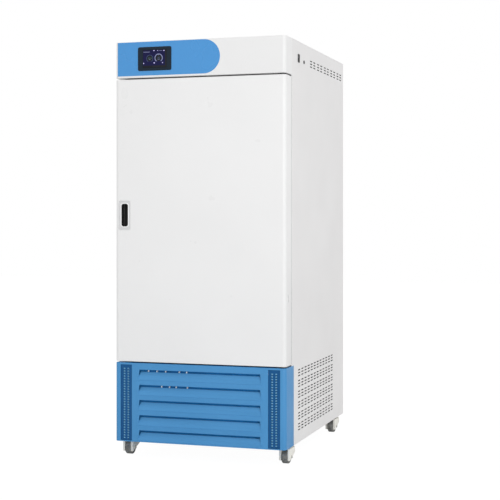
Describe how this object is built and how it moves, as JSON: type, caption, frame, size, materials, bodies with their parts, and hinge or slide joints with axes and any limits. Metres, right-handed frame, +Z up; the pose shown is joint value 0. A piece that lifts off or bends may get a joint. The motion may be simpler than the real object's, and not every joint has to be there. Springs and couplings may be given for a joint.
{
  "type": "refrigerated incubator",
  "caption": "Floor-standing refrigerated incubator: insulated cabinet on swivel casters, side-hinged door, stainless chamber with shelves, louvred machine compartment and control fascia.",
  "frame": {"origin": "on the floor, under the middle of the overall bounding box", "axes": "+Z up, front of the cabinet towards -Y, hinge side and power switch on +X, handle side on -X"},
  "size_m": [0.6704, 0.9, 1.564],
  "materials": {
    "white_enamel": "satin",
    "grey_enamel": "satin",
    "blue_enamel": "satin",
    "dark_blue_enamel": "satin",
    "blue_film": "gloss",
    "stainless": "satin",
    "zinc": "satin",
    "aluminium": "satin",
    "white_plastic": "satin",
    "black_plastic": "satin",
    "dark_plastic": "satin",
    "gasket_rubber": "matte",
    "wheel_rubber": "matte",
    "screen_glass": "gloss",
    "foam": "matte",
    "circuit_board": "satin",
    "compressor_paint": "satin"
  },
  "bodies": {
    "cabinet": {"left_side_panel": "white_enamel", "right_side_panel": "white_enamel", "top_panel": "white_enamel", "rear_panel": "white_enamel", "base_frame": "grey_enamel", "machine_deck": "grey_enamel", "insulation": "foam", "chamber_liner": "stainless", "breaker_frame": "white_plastic", "shelf_1": "stainless", "shelf_2": "stainless", "shelf_3": "stainless", "shelf_track_left": "stainless", "shelf_track_right": "stainless", "air_duct_cover": "stainless", "evaporator": "aluminium", "heater": "stainless", "circulation_fan_motor": "zinc", "temperature_probe": "stainless", "compressor": "compressor_paint", "condenser_coil": "aluminium", "condenser_fan_shroud": "grey_enamel", "condensate_tray": "dark_plastic", "lower_grille": "blue_enamel", "perforated_strip_left": "dark_blue_enamel", "perforated_strip_right": "dark_blue_enamel", "control_fascia": "white_plastic", "fascia_overlay": "blue_film", "display_bezel": "dark_plastic", "touch_panel": "screen_glass", "control_board": "circuit_board", "switch_housing": "black_plastic", "fuse_holder": "black_plastic", "power_inlet": "black_plastic", "hinge_lower": "zinc", "hinge_upper": "zinc", "caster_plate_front_left": "zinc", "caster_plate_front_right": "zinc", "caster_plate_rear_left": "zinc", "caster_plate_rear_right": "zinc"},
    "door": {"door_outer_skin": "white_enamel", "door_insulation": "foam", "door_inner_liner": "white_plastic", "door_gasket": "gasket_rubber", "handle_surround": "white_plastic", "handle_cup": "black_plastic"},
    "circulation_fan": {"circulation_fan_impeller": "aluminium"},
    "condenser_fan": {"condenser_fan_impeller": "dark_plastic"},
    "rocker": {"power_rocker": "black_plastic"},
    "fork_front_left": {"caster_fork_front_left": "zinc"},
    "fork_front_right": {"caster_fork_front_right": "zinc"},
    "fork_rear_left": {"caster_fork_rear_left": "zinc"},
    "fork_rear_right": {"caster_fork_rear_right": "zinc"},
    "wheel_front_left": {"caster_wheel_front_left": "wheel_rubber"},
    "wheel_front_right": {"caster_wheel_front_right": "wheel_rubber"},
    "wheel_rear_left": {"caster_wheel_rear_left": "wheel_rubber"},
    "wheel_rear_right": {"caster_wheel_rear_right": "wheel_rubber"},
    "pedal_front_left": {"brake_pedal_front_left": "white_plastic"},
    "pedal_front_right": {"brake_pedal_front_right": "white_plastic"}
  },
  "joints": [
    {"name": "door_hinge", "type": "hinge", "parent": "cabinet", "child": "door", "pos_m": [0.318, -0.43, 0.365], "axis": [0, 0, 1], "range_deg": [0, 110]},
    {"name": "circulation_fan_spin", "type": "hinge", "parent": "cabinet", "child": "circulation_fan", "pos_m": [0, 0.3206, 1.2359], "axis": [0, 1, 0], "continuous": true},
    {"name": "condenser_fan_spin", "type": "hinge", "parent": "cabinet", "child": "condenser_fan", "pos_m": [0, -0.2737, 0.1783], "axis": [0, 1, 0], "continuous": true},
    {"name": "power_rocker_tilt", "type": "hinge", "parent": "cabinet", "child": "rocker", "pos_m": [0.331, -0.2745, 1.5005], "axis": [0, 1, 0], "range_deg": [-14, 0]},
    {"name": "swivel_front_left", "type": "hinge", "parent": "cabinet", "child": "fork_front_left", "pos_m": [-0.3108, -0.337, 0.056], "axis": [0, 0, 1], "continuous": true},
    {"name": "swivel_front_right", "type": "hinge", "parent": "cabinet", "child": "fork_front_right", "pos_m": [0.3108, -0.337, 0.056], "axis": [0, 0, 1], "continuous": true},
    {"name": "swivel_rear_left", "type": "hinge", "parent": "cabinet", "child": "fork_rear_left", "pos_m": [-0.3108, 0.361, 0.056], "axis": [0, 0, 1], "continuous": true},
    {"name": "swivel_rear_right", "type": "hinge", "parent": "cabinet", "child": "fork_rear_right", "pos_m": [0.3108, 0.361, 0.056], "axis": [0, 0, 1], "continuous": true},
    {"name": "roll_front_left", "type": "hinge", "parent": "fork_front_left", "child": "wheel_front_left", "pos_m": [-0.31206, -0.35496, 0.025], "axis": [0.9976, -0.0698, 0], "continuous": true},
    {"name": "roll_front_right", "type": "hinge", "parent": "fork_front_right", "child": "wheel_front_right", "pos_m": [0.30954, -0.35496, 0.025], "axis": [0.9976, -0.0698, 0], "continuous": true},
    {"name": "roll_rear_left", "type": "hinge", "parent": "fork_rear_left", "child": "wheel_rear_left", "pos_m": [-0.31206, 0.34304, 0.025], "axis": [0.9976, -0.0698, 0], "continuous": true},
    {"name": "roll_rear_right", "type": "hinge", "parent": "fork_rear_right", "child": "wheel_rear_right", "pos_m": [0.30954, 0.34304, 0.025], "axis": [0.9976, -0.0698, 0], "continuous": true},
    {"name": "brake_front_left", "type": "hinge", "parent": "fork_front_left", "child": "pedal_front_left", "pos_m": [-0.3101, -0.32702, 0.0484], "axis": [-0.9976, 0.0698, 0], "range_deg": [0, 12]},
    {"name": "brake_front_right", "type": "hinge", "parent": "fork_front_right", "child": "pedal_front_right", "pos_m": [0.3115, -0.32702, 0.0484], "axis": [-0.9976, 0.0698, 0], "range_deg": [0, 12]}
  ]
}
